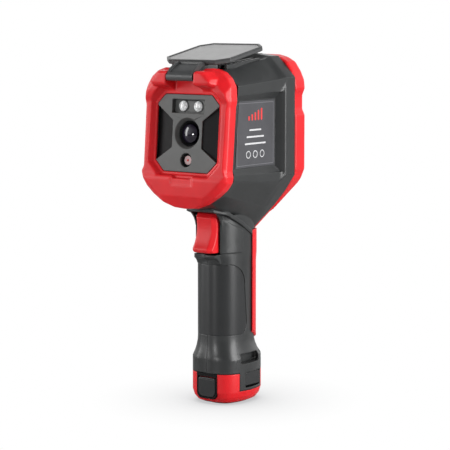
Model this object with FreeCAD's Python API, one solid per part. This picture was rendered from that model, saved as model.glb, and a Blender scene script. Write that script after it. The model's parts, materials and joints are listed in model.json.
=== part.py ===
import FreeCAD
import Part
import math
import os

# Pistol-grip thermal imaging camera with a flip-up lens cover, in millimetres.
# +Z is up, -Y is the lens side, X = 0 is the plane of symmetry.
# The origin is the centre of the flat underside of the battery pack.

V = FreeCAD.Vector

# ---------------------------------------------------------------- driving dimensions
WALL = 2.2                     # handle wall
HEAD_WALL = 3.6                # head wall
GAP = 0.3                      # gap between neighbouring loose pieces
FACE_TILT = 4.75               # the front leans so that the lens looks slightly up, degrees
OPTIC_Y = -42.8                # faceplate front plane at the lens
OPTIC_Z = 181.4                # lens height
SEAM_DEPTH = 7.0               # bezel-to-body seam, behind the faceplate plane
REAR_Y = 24.0                  # front of the rear bumper
BACK_Y = 37.0                  # rearmost plane of the head
BASE_Z = 21.0                  # parting between handle and battery pack
FLARE_Z = 31.0                 # widest level of the handle foot
GRIP_Z = 45.0                  # lower end of the straight grip
GRIP_TOP_Z = 97.0              # upper end of the grip, under the trigger
NECK_TOP_Z = 138.0             # neck solid runs up into the head to here
COVER_OPEN = 254.0             # lens cover swing from closed to open, degrees
HINGE_Y = -9.0                 # cover hinge, front-face frame
HINGE_Z = 35.9
HINGE_R = 2.6                  # hinge barrel radius
PIN_R = 1.0
RUN_CLEARANCE = 0.04           # radial clearance of turning fits
GROOVE = 0.6                   # width of the groove round the soft grip
GRIP_SKIN = 1.9                # thickness of the soft grip
PANEL_RISE = 0.5               # the flat panels on the neck stand this proud
OPENING_W = 25.1               # half width of the front opening
OPENING_H = 25.1               # half height of the front opening
OPENING_CUT = 6.2              # chamfers of its upper corners
OPENING_FOOT_CUT = 7.3         # chamfers of its lower corners

# Half outlines (x, z) of the head, from the top centre round to the bottom centre.
# z of the front outline is in the front-face frame, the others are heights above the base.
# The first points leave a shallow channel along the roof for the arm of the lens cover.
FRONT_HALF = [(0, 40.1), (12.4, 40.1), (13.4, 41.5), (21.2, 41.6), (34.0, 31.4), (34.0, -29.0),
              (26.0, -38.6), (15.5, -44.8), (0, -47.2)]
MID_HALF = [(0, 227.6), (12.4, 227.6), (13.4, 227.9), (24.2, 228.4), (35.4, 215.2), (35.4, 148.0),
            (23.5, 131.0), (11.0, 116.5), (0, 116.0)]
REAR_HALF = [(0, 231.4), (12.4, 231.4), (13.4, 231.4), (24.6, 230.2), (38.0, 216.5), (38.0, 152.0),
             (24.0, 131.2), (9.0, 113.2), (0, 112.8)]
MID_Y = 9.6
FLANGE_Y = 14.5
SEAM_BEND_Z = 141.0            # the rear seam runs forward below this level
SEAM_FOOT_Y = 14.6
BACK_BEND_Z = 150.0            # the back face slopes forward below this level
BACK_FOOT_Y = 17.4

# Half outlines of the red front bezel at its seam and at its front rim, in the front-face frame.
BEZEL_HALF = [(0, 40.6), (11.9, 40.6), (12.8, 42.0), (20.0, 42.2), (26.0, 40.2), (30.8, 36.2), (34.0, 30.8),
              (34.9, 21.6), (34.2, 17.6), (34.0, -23.0), (35.0, -26.6), (34.4, -30.6), (30.8, -35.4),
              (25.0, -40.2), (16.8, -45.2), (8.4, -48.2), (0, -48.8)]
RIM_HALF = [(0, 39.4), (11.9, 39.4), (12.8, 39.6), (16.6, 39.2), (22.8, 36.8), (28.0, 31.8), (32.2, 26.8),
            (32.8, 21.2), (31.4, 17.4), (31.2, -21.6), (33.4, -25.0), (31.6, -29.4), (27.6, -33.4),
            (21.6, -37.6), (13.8, -41.8), (6.0, -44.4), (0, -45.0)]

# Half outline of the rear bumper, with the shallow finger notch in each side.
BUMPER_HALF = [(0, 231.2), (19.0, 230.9), (25.4, 229.3), (30.9, 226.4), (35.2, 220.4), (38.0, 214.6),
               (38.6, 208.6), (36.6, 204.0), (36.6, 195.2), (38.6, 191.2), (38.6, 155.0), (35.8, 148.6),
               (9.2, 112.5), (0, 112.0)]

# Half plan sections (x, y) of the handle, front centre round to back centre.
GRIP_HALF = [(0, -21.0), (7.2, -19.9), (12.6, -15.6), (15.8, -8.0), (16.3, 0.0), (15.0, 6.4),
             (13.0, 12.0), (8.4, 17.6), (0, 19.2)]
NECK_HALF = [(0, -21.4), (9.2, -20.6), (12.2, -17.0), (15.6, -8.6), (16.2, 0.0), (15.2, 6.6),
             (13.4, 12.0), (9.0, 17.6), (0, 19.2)]
FOOT_HALF = [(0, -22.6), (8.6, -22.0), (14.6, -18.6), (18.8, -10.4), (20.4, 0.0), (19.2, 9.6),
             (14.8, 18.2), (8.2, 22.2), (0, 23.0)]


# ---------------------------------------------------------------- drawing helpers
def mirrored(half):
    """Closed outline from its half: first and last points lie on the plane of symmetry."""
    return half + [(-x, v) for x, v in reversed(half[1:-1])]


def inset(points, amount):
    """Polygon moved inwards by amount, keeping its number of corners."""
    area = sum(a[0] * b[1] - b[0] * a[1] for a, b in zip(points, points[1:] + points[:1]))
    side = 1.0 if area > 0 else -1.0
    result = []
    for i, (x, y) in enumerate(points):
        before = points[i - 1]
        after = points[(i + 1) % len(points)]
        normals = []
        for (ax, ay), (bx, by) in ((before, (x, y)), ((x, y), after)):
            length = math.hypot(bx - ax, by - ay)
            normals.append((-(by - ay) / length * side, (bx - ax) / length * side))
        (nx, ny), (mx, my) = normals
        scale = amount / (1.0 + nx * mx + ny * my)
        result.append((x + (nx + mx) * scale, y + (ny + my) * scale))
    return result


def box(x0, x1, y0, y1, z0, z1):
    return Part.makeBox(x1 - x0, y1 - y0, z1 - z0, V(x0, y0, z0))


def rod(radius, start, end):
    """Cylinder between two points."""
    a, b = V(*start), V(*end)
    return Part.makeCylinder(radius, (b - a).Length, a, b - a)


def tube(outer, inner, start, end):
    return rod(outer, start, end).cut(rod(inner, start, end))


def extruded(corners, direction):
    return Part.Face(Part.makePolygon([V(*c) for c in corners] + [V(*corners[0])])).extrude(V(*direction))


def prism_y(points, y0, y1):
    """Outline in (x, z) drawn out from y0 to y1."""
    return extruded([(x, y0, z) for x, z in points], (0, y1 - y0, 0))


def prism_x(points, x0, x1):
    """Outline in (y, z) drawn out from x0 to x1."""
    return extruded([(x0, y, z) for y, z in points], (x1 - x0, 0, 0))


def prism_z(points, z0, z1):
    """Outline in (x, y) drawn out from z0 to z1."""
    return extruded([(x, y, z0) for x, y in points], (0, 0, z1 - z0))


def polygon_loft(rings):
    """Flat-sided solid through rings of 3-D points with equal counts."""
    wires = [Part.makePolygon([V(*p) for p in ring] + [V(*ring[0])]) for ring in rings]
    return Part.makeLoft(wires, True, True)


def smooth_wire(points, z):
    curve = Part.BSplineCurve()
    curve.interpolate([V(x, y, z) for x, y in points], PeriodicFlag=True)
    return Part.Wire(curve.toShape())


def smooth_loft(levels):
    """Round-sided solid through (points, z) plan sections."""
    return Part.makeLoft([smooth_wire(points, z) for points, z in levels], True, True)


def rect(w, h, cut=0.0, cx=0.0, cz=0.0):
    """Rectangle of half sizes w, h with optional 45-degree corners."""
    if not cut:
        return [(cx - w, cz - h), (cx + w, cz - h), (cx + w, cz + h), (cx - w, cz + h)]
    return [(cx - w + cut, cz - h), (cx + w - cut, cz - h), (cx + w, cz - h + cut), (cx + w, cz + h - cut),
            (cx + w - cut, cz + h), (cx - w + cut, cz + h), (cx - w, cz + h - cut), (cx - w, cz - h + cut)]


def rounded_box(x0, x1, y0, y1, z0, z1, radius, axis):
    """Box with its four edges along axis rounded."""
    block = box(x0, x1, y0, y1, z0, z1)
    direction = {"x": V(1, 0, 0), "y": V(0, 1, 0), "z": V(0, 0, 1)}[axis]
    edges = [e for e in block.Edges if abs(e.tangentAt(0).dot(direction)) > 0.99]
    return block.makeFillet(radius, edges)


def fused(shapes):
    first, *rest = shapes
    return first.fuse(rest).removeSplitter() if rest else first


def group(shapes):
    return Part.makeCompound(shapes)


def front_frame(shape):
    """From the front-face frame (y into the camera, z up the face) to the model frame."""
    moved = shape.copy()
    moved.rotate(V(0, 0, 0), V(1, 0, 0), -FACE_TILT)
    moved.translate(V(0, OPTIC_Y, OPTIC_Z))
    return moved


def front_point(x, y, z):
    angle = math.radians(FACE_TILT)
    return (x, OPTIC_Y + y * math.cos(angle) + z * math.sin(angle),
            OPTIC_Z - y * math.sin(angle) + z * math.cos(angle))


def mirror_x(shape):
    return shape.mirror(V(0, 0, 0), V(1, 0, 0))


# ---------------------------------------------------------------- housing
def head_rings(amount, front_depth):
    """Rings of the head body, moved inwards by amount."""
    front = [front_point(x, front_depth, z) for x, z in inset(mirrored(FRONT_HALF), amount)]
    middle = [(x, MID_Y, z) for x, z in inset(mirrored(MID_HALF), amount)]
    flange = [(x, FLANGE_Y, z) for x, z in inset(mirrored(REAR_HALF), amount)]
    rear = [(x, REAR_Y, z) for x, z in inset(mirrored(REAR_HALF), amount)]
    return [front, middle, flange, rear]


def seam_side():
    """Everything in front of the rear seam, which runs forward below the display."""
    corners = [(-80, 260), (REAR_Y, 260), (REAR_Y, SEAM_BEND_Z), (SEAM_FOOT_Y, 113.0), (SEAM_FOOT_Y, -10),
               (-80, -10)]
    return prism_x(corners, -60, 60)


def rim_space():
    """Room behind the seam for the rear rim and the rear panel."""
    return prism_y(mirrored(BUMPER_HALF), 0, 60).cut(seam_side())


def back_side(depth):
    """Everything in front of the back face, which slopes forward at its foot; depth moves it inwards."""
    return prism_x([(-80, 260), (BACK_Y - depth, 260), (BACK_Y - depth, BACK_BEND_Z),
                    (BACK_FOOT_Y - depth, 113.0), (BACK_FOOT_Y - depth, -10), (-80, -10)], -60, 60)


def between(points, others, share):
    """Section part of the way from one section to another."""
    return [(x + (u - x) * share, y + (v - y) * share) for (x, y), (u, v) in zip(points, others)]


def handle_solid(amount):
    """Neck, grip and foot with its hollow-curved flare, moved inwards by amount."""
    neck = inset(mirrored(NECK_HALF), amount)
    grip = inset(mirrored(GRIP_HALF), amount)
    foot = inset(mirrored(FOOT_HALF), amount)
    levels = [(foot, BASE_Z), (foot, FLARE_Z)]
    for share in (0.25, 0.5, 0.75, 1.0):
        height = FLARE_Z + (GRIP_Z - FLARE_Z) * share
        levels.append((between(grip, foot, (1.0 - share) ** 2), height))
    levels += [(grip, GRIP_TOP_Z - 3), (neck, GRIP_TOP_Z + 3), (neck, NECK_TOP_Z)]
    return smooth_loft(levels)


LABEL_X = 32.2                 # floor of the flank recess
LABEL_FOOT, LABEL_TOP = 159.4, 202.4
LABEL_FRONT, LABEL_REAR = -32.6, 8.4
LABEL_THICK = 0.45


def label_recess():
    """Bevelled shallow pocket in the right flank, open towards the bezel."""
    rings = []
    for x, rear, margin in ((44.0, 18.2, 5.4), (LABEL_X + 2.6, 11.5, 4.6), (LABEL_X, 9.6, 0.8)):
        top, foot = LABEL_TOP + margin, LABEL_FOOT - margin
        rings.append([(x, -46, top), (x, rear, top), (x, rear, foot), (x, -46, foot)])
    return polygon_loft(rings)


PORT_Y0, PORT_Y1 = 14.9, 23.2          # port bay in the roof, front and rear
PORT_X = 14.0                          # half width of the port bay
ROOF_Z = 231.0                         # roof height over the port bay
TRIGGER_X = 8.4                        # half width of the trigger
SEAT_X = 9.8                           # half width of the trigger pocket
SEAT_Z0, SEAT_Z1 = 100.7, 128.8
STRAP_Y0, STRAP_Y1 = -9.5, 9.5
STRAP_Z0, STRAP_Z1 = 27.0, 33.6
TAB_Y0, TAB_Y1 = -10.5, 13.5           # side tabs of the foot that carry the release buttons
TAB_Z = 9.0
BUTTON_Y0, BUTTON_Y1 = -5.5, 10.0
BUTTON_Z0, BUTTON_Z1 = 12.0, 20.6
REAR_GAP, FOOT_GAP = 1.8, 1.4          # finger gaps behind and under the button
WELL_X = 14.3                          # inner face of the tab that the button sits in
PACK_X, PACK_Y0, PACK_Y1 = 12.4, -13.0, 13.0   # battery tower inside the handle
PACK_TOP = 84.0


def overmould_region(grow=0.0):
    """Side view of the soft grip: front of the handle up to a curved rear boundary."""
    top, foot = 93.4, 46.4
    shoulder, shoulder_mid = V(-40, -13.5, top), V(-40, -5.6 + grow, 88.4)
    shoulder_end, heel = V(-40, -2.6 + grow, 78.0), V(-40, -0.6 + grow, 56.0)
    heel_mid, heel_end = V(-40, -1.6 + grow, 50.0), V(-40, -6.0, foot)
    front_top, front_foot = V(-40, -30, top), V(-40, -30, foot)
    wire = Part.Wire([
        Part.makeLine(front_top, shoulder),
        Part.Arc(shoulder, shoulder_mid, shoulder_end).toShape(),
        Part.makeLine(shoulder_end, heel),
        Part.Arc(heel, heel_mid, heel_end).toShape(),
        Part.makeLine(heel_end, front_foot),
        Part.makeLine(front_foot, front_top),
    ])
    return Part.Face(wire).extrude(V(80, 0, 0))


def foot_tab(x0, x1):
    """Side tab of the foot, carrying a release button, between two distances from the centre."""
    return box(x0, x1, TAB_Y0, TAB_Y1, TAB_Z, BASE_Z + 0.5)


def foot_solid(z0, z1, amount=0.0):
    points = inset(mirrored(FOOT_HALF), amount)
    return smooth_loft([(points, z0), (points, z1)])


def neck_belt():
    """Sloping belt between the neck and the head, and the thin ledge under the bezel."""
    belt = [(-30.5, 129.6), (-19.0, 126.8), (7.0, 111.8), (7.0, 114.8), (-19.0, 129.6), (-30.5, 133.0)]
    half_plan = [(0, -30.5), (11.0, -29.6), (14.6, -22.0), (17.4, -8.0), (16.8, 4.0), (14.6, 12.0), (0, 20.5)]
    plan = mirrored(half_plan)
    return prism_x(belt, -30, 30).common(prism_z(plan, 100, 140))


def throat():
    """Concave fill between the ledge under the bezel and the trigger seat."""
    wire = Part.Wire([
        Part.makeLine(V(-11, -29.4, 130.0), V(-11, -16.0, 130.0)),
        Part.makeLine(V(-11, -16.0, 130.0), V(-11, -16.0, 119.0)),
        Part.makeLine(V(-11, -16.0, 119.0), V(-11, -20.0, 119.0)),
        Part.Arc(V(-11, -20.0, 119.0), V(-11, -23.2, 125.8), V(-11, -29.4, 130.0)).toShape(),
    ])
    return Part.Face(wire).extrude(V(22, 0, 0))


def trigger_lip():
    """Rounded chin of the seat under the trigger."""
    x = -SEAT_X + 0.4
    chin_z = SEAT_Z0 - 6.6
    wire = Part.Wire([
        Part.makeLine(V(x, -12.0, SEAT_Z0), V(x, -23.8, SEAT_Z0)),
        Part.Arc(V(x, -23.8, SEAT_Z0), V(x, -24.4, SEAT_Z0 - 1.4), V(x, -23.2, SEAT_Z0 - 2.8)).toShape(),
        Part.Arc(V(x, -23.2, SEAT_Z0 - 2.8), V(x, -21.2, SEAT_Z0 - 4.6), V(x, -20.2, chin_z)).toShape(),
        Part.makeLine(V(x, -20.2, chin_z), V(x, -12.0, chin_z)),
        Part.makeLine(V(x, -12.0, chin_z), V(x, -12.0, SEAT_Z0)),
    ])
    chin = Part.Face(wire).extrude(V(-2 * x, 0, 0))
    plan = inset(mirrored(NECK_HALF), -2.6)
    return chin.common(smooth_loft([(plan, SEAT_Z0 - 8), (plan, SEAT_Z0 + 1)]))


def neck_panels():
    """Flat raised panel on each side of the neck, under the belt."""
    outline = [(-21.0, 101.4), (-4.4, 101.4), (-4.4, 115.6), (-21.0, 124.6)]
    skin = handle_solid(-PANEL_RISE).common(prism_x(outline, -30, 30))
    return skin.cut(box(-SEAT_X, SEAT_X, -40, 0, 90, 130))


def roof_ribs():
    """Low ribs along the roof, beside the open cover."""
    slope = [(-30.0, 222.6), (6.0, 226.0), (6.0, 229.1), (-30.0, 225.4)]
    return [prism_x(slope, x, x + 2.2) for x in (15.0, 20.4, -17.2, -22.6)]


def housing():
    """Both housing halves as one solid, before they are parted."""
    head = polygon_loft(head_rings(0.0, SEAM_DEPTH)).common(seam_side())
    right_tab = foot_tab(WELL_X, 24)
    tabs = foot_solid(TAB_Z, BASE_Z + 0.5).common(fused([right_tab, mirror_x(right_tab)]))
    neck = [handle_solid(0.0), neck_belt(), throat(), trigger_lip(), neck_panels()]
    outer = fused([head, tabs] + neck + roof_ribs())
    outer = outer.cut(rim_space())
    hollow_rings = head_rings(HEAD_WALL, SEAM_DEPTH - 1.0)
    hollow_rings[-1] = [(x, REAR_Y + 1, z) for x, _, z in hollow_rings[-1]]
    head_hollow = polygon_loft(hollow_rings)
    floor_cut = prism_x([(-60, 136.5), (-22, 136.5), (40, 114.6), (40, 60), (-60, 60)], -40, 40)
    head_hollow = head_hollow.cut(floor_cut)
    grip_hollow = rounded_box(-13.0, 13.0, -13.6, 13.6, BASE_Z - 20, 100.0, 5.0, "z")
    cable_way = box(-8.0, 8.0, -6.0, 11.0, 98.0, 140.0)
    shell = outer.cut([head_hollow, grip_hollow, cable_way]).fuse([roof_boss()] + board_bosses())
    pockets = [overmould_cut(), box(-SEAT_X, SEAT_X, -40, -12.6, SEAT_Z0, SEAT_Z1), label_recess(),
               mirror_x(label_recess())]
    strap = strap_channel()
    button = rounded_box(WELL_X + 0.7, 30.0, BUTTON_Y0 - GAP, BUTTON_Y1 + REAR_GAP,
                         BUTTON_Z0 - FOOT_GAP, BUTTON_Z1 + GAP, 0.8, "x")
    ports = box(-PORT_X, PORT_X, PORT_Y0, PORT_Y1, ROOF_Z - 1.6, ROOF_Z + 5)
    port_hole = box(-10.5, 10.5, 17.0, 21.6, ROOF_Z - 6, ROOF_Z)
    switch_room = box(-3.4, 3.4, -13.0, 0, 105.8, 117.4)
    pockets += [strap, mirror_x(strap), button, mirror_x(button), ports, port_hole, switch_room, pin_hole()]
    pockets += [screw_room(y, z) for y, z in SCREW_PLACES]
    return shell.cut(pockets)


def strap_channel():
    """Side slot and a passage behind its bar, for the wrist strap."""
    slot = rounded_box(14.2, 30.0, STRAP_Y0, STRAP_Y1, STRAP_Z0, STRAP_Z1, 1.2, "x")
    passage = rounded_box(14.2, 16.8, STRAP_Y1 - 4.0, 30.0, STRAP_Z0 + 0.4, STRAP_Z1 - 0.4, 1.0, "y")
    return slot.fuse(passage)


def pin_hole():
    reach = SEAT_X + 0.8
    return rod(PIN_R, (-reach, PIVOT_Y, PIVOT_Z), (reach, PIVOT_Y, PIVOT_Z))


SCREW_PLACES = ((15.6, 50.0), (15.6, 94.0), (-15.6, 88.0), (-8.0, 215.5))
SCREW_R, SCREW_HEAD_R = 1.0, 1.8


def screw_room(y, z):
    return rod(SCREW_R, (-6.0, y, z), (6.6, y, z)).fuse(rod(SCREW_HEAD_R, (-20.0, y, z), (-5.2, y, z)))


def housing_screws():
    return group([rod(SCREW_R, (-6.0, y, z), (6.4, y, z)).fuse(rod(SCREW_HEAD_R, (-6.8, y, z), (-5.2, y, z)))
                  for y, z in SCREW_PLACES])


BOARD_SCREWS = ((-24.0, 215.0), (24.0, 215.0), (-28.0, 155.0), (28.0, 155.0))
BOARD_SCREW_R = 1.1


def board_bosses():
    """Blocks on the head walls that the main board is screwed to."""
    right = [box(21.5, 31.0, 12.0, 20.6, 212.5, 217.5), box(25.5, 34.5, 12.0, 20.6, 152.5, 157.5)]
    blocks = right + [mirror_x(block) for block in right]
    return [block.cut([board_screw_hole(x, z) for x, z in BOARD_SCREWS]) for block in blocks]


def board_screw_hole(x, z):
    return rod(BOARD_SCREW_R, (x, 14.0, z), (x, 26.0, z))


def roof_boss():
    return box(-8.6, 8.6, -11.6, -4.4, 212.0, 223.0)


def overmould_cut():
    """Room for the soft grip, down to the hard core of the handle."""
    return overmould_region(GROOVE).cut(handle_solid(GRIP_SKIN))


def grip_overmould():
    region = handle_solid(0.0).common(overmould_region())
    return region.cut(handle_solid(GRIP_SKIN)).cut(trigger_lip())


# ---------------------------------------------------------------- red bezel and faceplate
def octagon(half, top, foot, top_cut, foot_cut):
    """Symmetric outline from foot to top with its upper and lower corners cut by different amounts."""
    right = [(half - foot_cut, foot), (half, foot + foot_cut), (half, top - top_cut), (half - top_cut, top)]
    return right + [(-x, z) for x, z in reversed(right)]


def opening(grow=0.0):
    return octagon(OPENING_W + grow, OPENING_H + grow, -OPENING_H - grow, OPENING_CUT + grow * 0.4,
                   OPENING_FOOT_CUT + grow * 0.4)


SEAM_GROOVE = 1.7              # depth of the groove between bezel and housing
COVER_W = 26.0                 # half width of the lens cover
COVER_TOP = 23.4               # upper and lower edges of the closed cover
COVER_BOTTOM = -26.4
COVER_IN = -0.6                # closed cover: inner and outer faces
COVER_OUT = -3.4
ARM_X = 10.6                   # half width of the cover arm
NOTCH_X = 11.2                 # half width of the hinge notch in the brow
THUMB_Z = -31.2                # middle of the thumb recess in the chin
TAB_X = 7.0                    # half width of the thumb tab on the cover
TAB_FOOT = COVER_BOTTOM - 2.2  # its lower end on the closed cover


def front_bezel():
    body_outline = mirrored(BEZEL_HALF)
    rim = mirrored(RIM_HALF)
    profile = [(SEAM_DEPTH, -52), (3.4, -52), (1.2, -49), (-3.4, -41), (-4.6, -30), (-3.4, -26.6), (-3.0, 20),
               (-4.4, 23), (-5.4, 27), (-5.4, 45), (SEAM_DEPTH, 45)]
    rings = [[(x, SEAM_DEPTH, z) for x, z in inset(body_outline, SEAM_GROOVE)],
             [(x, SEAM_DEPTH - 1.3, z) for x, z in body_outline],
             [(x, -0.6, z) for x, z in body_outline],
             [(x, -4.4, z) for x, z in rim],
             [(x, -5.6, z) for x, z in inset(rim, 1.8)]]
    body = polygon_loft(rings).common(prism_x(profile, -40, 40)).fuse(bezel_brow())
    funnel = ((-0.2, octagon(26.1, 27.6, -26.9, 7.4, 7.6)), (-4.4, octagon(30.0, 29.4, -28.0, 9.0, 8.6)),
              (-12.0, octagon(30.0, 29.4, -28.0, 9.0, 8.6)))
    seat = polygon_loft([[(x, y, z) for x, z in outline] for y, outline in funnel])
    notch = box(-NOTCH_X, NOTCH_X, -20, -0.2, 18, 50)
    thumb = polygon_loft([[(x, -6, z) for x, z in rect(9.6, 3.2, 0, 0, THUMB_Z)],
                          [(x, -3.7, z) for x, z in rect(8.6, 2.4, 0, 0, THUMB_Z)]])
    tab_room = box(-TAB_X - 0.6, TAB_X + 0.6, -8, COVER_IN - 0.8, TAB_FOOT - 0.6, -25)
    hole = rod(PIN_R, (-16, HINGE_Y, HINGE_Z), (16, HINGE_Y, HINGE_Z))
    return body.cut([prism_y(opening(), -20, 20), seat, notch, thumb, tab_room, hole, bezel_pocket()])


def bezel_brow():
    """Thick lip over the opening that carries the cover hinge."""
    steps = ((0.0, 27.5, 29.6, 40.2), (-4.6, 26.6, 29.6, 40.2), (-8.6, 25.0, 30.0, 39.8),
             (-10.4, 24.2, 30.8, 39.2), (-11.2, 23.2, 31.8, 38.0))
    rings = []
    for depth, half, low, high in steps:
        rings.append([(-half, depth, low + 1.6), (-half + 2.0, depth, low), (half - 2.0, depth, low),
                      (half, depth, low + 1.6), (half - 1.2, depth, high - 4.6), (half - 6.5, depth, high),
                      (-half + 6.5, depth, high), (-half + 1.2, depth, high - 4.6)])
    return polygon_loft(rings)


def bezel_pocket():
    """Hollow behind the bezel where the faceplate and its flange sit."""
    return prism_y(rect(28.2, 28.2, 8.3), 1.6, 20)


WAIST_X = 12.1                 # half width of the faceplate beside the lens


def hourglass(grow=0.0):
    """The pair of dark side panels, outlined on the faceplate."""
    top, bottom = 15.4, -15.4
    inner_top, inner_bottom = 8.3, -9.4
    outer, inner = 26.0, WAIST_X
    right = [(outer, top + 3.2 + grow), (inner - grow, inner_top + grow * 0.4),
             (inner - grow, inner_bottom - grow * 0.4), (outer, bottom - 3.4 - grow)]
    return [right, [(-x, z) for x, z in right]]


LAMP_X, LAMP_Z, LAMP_R = 6.05, 17.6, 3.4
PORT_Z, PORT_R = -17.3, 2.95
CONE_R, LENS_R = 10.1, 7.3


def faceplate():
    plate = fused([prism_y(opening(-0.1), 0, 3.0), prism_y(rect(27.9, 27.9, 8.2), 1.7, 4.4)])
    cuts = [prism_y(side, -1, 9) for side in hourglass()]
    slot = box(-13.2, 13.2, -1, 3.2, 12.9, 21.9)
    cone = Part.makeCone(CONE_R, 8.4, 2.6, V(0, 0, 0), V(0, 1, 0))
    bore = rod(8.4, (0, 2, 0), (0, 9, 0))
    port = rod(4.5, (0, -1, PORT_Z), (0, 3.0, PORT_Z))
    port_bore = rod(PORT_R + 0.05, (0, -1, PORT_Z), (0, 9, PORT_Z))
    lamps = [rod(LAMP_R + 0.05, (x, -1, LAMP_Z), (x, 9, LAMP_Z)) for x in (-LAMP_X, LAMP_X)]
    collar = tube(10.6, 8.4, (0, 4.4, 0), (0, 8.6, 0))
    return plate.cut(cuts + [slot, cone, bore, port, port_bore] + lamps).fuse(collar)


def face_inserts():
    """Two dark panels that slope inwards behind the side openings of the faceplate."""
    slope = prism_z([(WAIST_X, 0.8), (30.0, 3.2), (30.0, 12.0), (WAIST_X, 12.0)], -30, 30)
    slope = slope.fuse(mirror_x(slope))
    panels = []
    for side, small in zip(hourglass(), hourglass(-0.15)):
        neck = prism_y(small, 0.5, 5.0).common(prism_y(opening(-0.1), 0, 6))
        panels.append(neck.common(slope).fuse(prism_y(side, 4.5, 5.7)))
    return group(panels)


# ---------------------------------------------------------------- optics
def ir_lens():
    """Germanium lens: convex front, flat rear."""
    radius = 12.0
    centre_y = 1.4 + radius
    dome = Part.makeSphere(radius, V(0, centre_y, 0)).common(rod(LENS_R - 1.35, (0, 0, 0), (0, 6.0, 0)))
    return dome


def lens_barrel():
    outer = rod(8.3, (0, 3.4, 0), (0, 16.0, 0))
    bore = rod(LENS_R - 1.3, (0, 2, 0), (0, 20, 0))
    ledge = tube(LENS_R - 1.3, 4.4, (0, 6.1, 0), (0, 7.6, 0))
    mouth = Part.makeCone(LENS_R + 0.6, LENS_R - 1.3, 1.6, V(0, 3.4, 0), V(0, 1, 0))
    flange = tube(11.4, 8.3, (0, 11.0, 0), (0, 13.0, 0))
    return fused([outer.cut([bore, mouth]), ledge, flange])


def lens_ring():
    return tube(4.4 + 1.5, 4.5, (0, 7.7, 0), (0, 9.4, 0))


def lens_oring():
    return Part.makeTorus(9.35, 0.75, V(0, 9.6, 0), V(0, 1, 0))


def thermal_core():
    body = rounded_box(-13, 13, 19.0, 32.0, -13, 13, 2.0, "y")
    snout = tube(8.0, 5.4, (0, 16.1, 0), (0, 19.0, 0))
    window = rod(4.3, (0, 18, 0), (0, 22, 0))
    slot = box(-4.9, 14.0, 19.7, 20.7, -4.9, 4.9)
    return body.fuse(snout).cut([window, slot])


def shutter_blade():
    """Flag that slides over the sensor window for the zero check."""
    return rounded_box(4.5, 12.9, 19.9, 20.5, -4.5, 4.5, 1.0, "y")


def camera_module():
    sensor = box(-4.6, 4.6, 9.0, 13.0, PORT_Z - 4.6, PORT_Z + 4.6)
    return rod(2.9, (0, 4.4, PORT_Z), (0, 9.0, PORT_Z)).fuse(sensor)


def port_window():
    return rod(PORT_R - 0.05, (0, 2.3, PORT_Z), (0, 3.5, PORT_Z))


def lamp_lenses():
    """Two moulded lenses, domed at the front."""
    lenses = []
    for x in (-LAMP_X, LAMP_X):
        dome = Part.makeSphere(6.0, V(x, 7.4, LAMP_Z)).common(rod(LAMP_R, (x, 1.0, LAMP_Z), (x, 5.4, LAMP_Z)))
        lenses.append(dome)
    return group(lenses)


def lamp_leds():
    return group([box(x - 1.7, x + 1.7, 5.6, 6.5, LAMP_Z - 1.7, LAMP_Z + 1.7) for x in (-LAMP_X, LAMP_X)])


def lamp_board():
    return box(-12.5, 12.5, 6.5, 7.7, 13.4, 22.0)


def core_ribbon():
    """Flat flexible cable from the thermal core to the main board."""
    profile = [(-10.2, 186.0), (-4.6, 175.0), (8.0, 172.5), (20.4, 176.4), (20.4, 176.8), (8.0, 172.9),
               (-4.3, 175.4), (-9.8, 186.0)]
    return prism_x(profile, -6.0, 6.0)


def label(side):
    """Plain rating panel in the flank recess."""
    lean = (LABEL_TOP - LABEL_FOOT) * math.tan(math.radians(FACE_TILT)) / 2
    cut = 1.2
    points = [(LABEL_FRONT - lean, LABEL_FOOT), (LABEL_REAR - cut, LABEL_FOOT), (LABEL_REAR, LABEL_FOOT + cut),
              (LABEL_REAR, LABEL_TOP - cut), (LABEL_REAR - cut, LABEL_TOP), (LABEL_FRONT + lean, LABEL_TOP)]
    plate = prism_x(points, LABEL_X, LABEL_X + LABEL_THICK)
    return plate if side > 0 else mirror_x(plate)


def core_bracket():
    """Pressed metal plate that carries the core, the lamp board and the aiming module."""
    plate = box(-24, 24, 13.2, 14.4, -23, 23)
    holes = [rod(8.4, (0, 12, 0), (0, 16, 0))]
    return plate.cut(holes)


# ---------------------------------------------------------------- lens cover
def swing_open(shape):
    """From the closed place to the open rest place."""
    moved = shape.copy()
    moved.rotate(V(0, HINGE_Y, HINGE_Z), V(1, 0, 0), -COVER_OPEN)
    return front_frame(moved)


def cover_outline(grow=0.0):
    middle = (COVER_TOP + COVER_BOTTOM) / 2
    return rect(COVER_W + grow, (COVER_TOP - COVER_BOTTOM) / 2 + grow, 7.2 + grow * 0.5, 0, middle)


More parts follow.
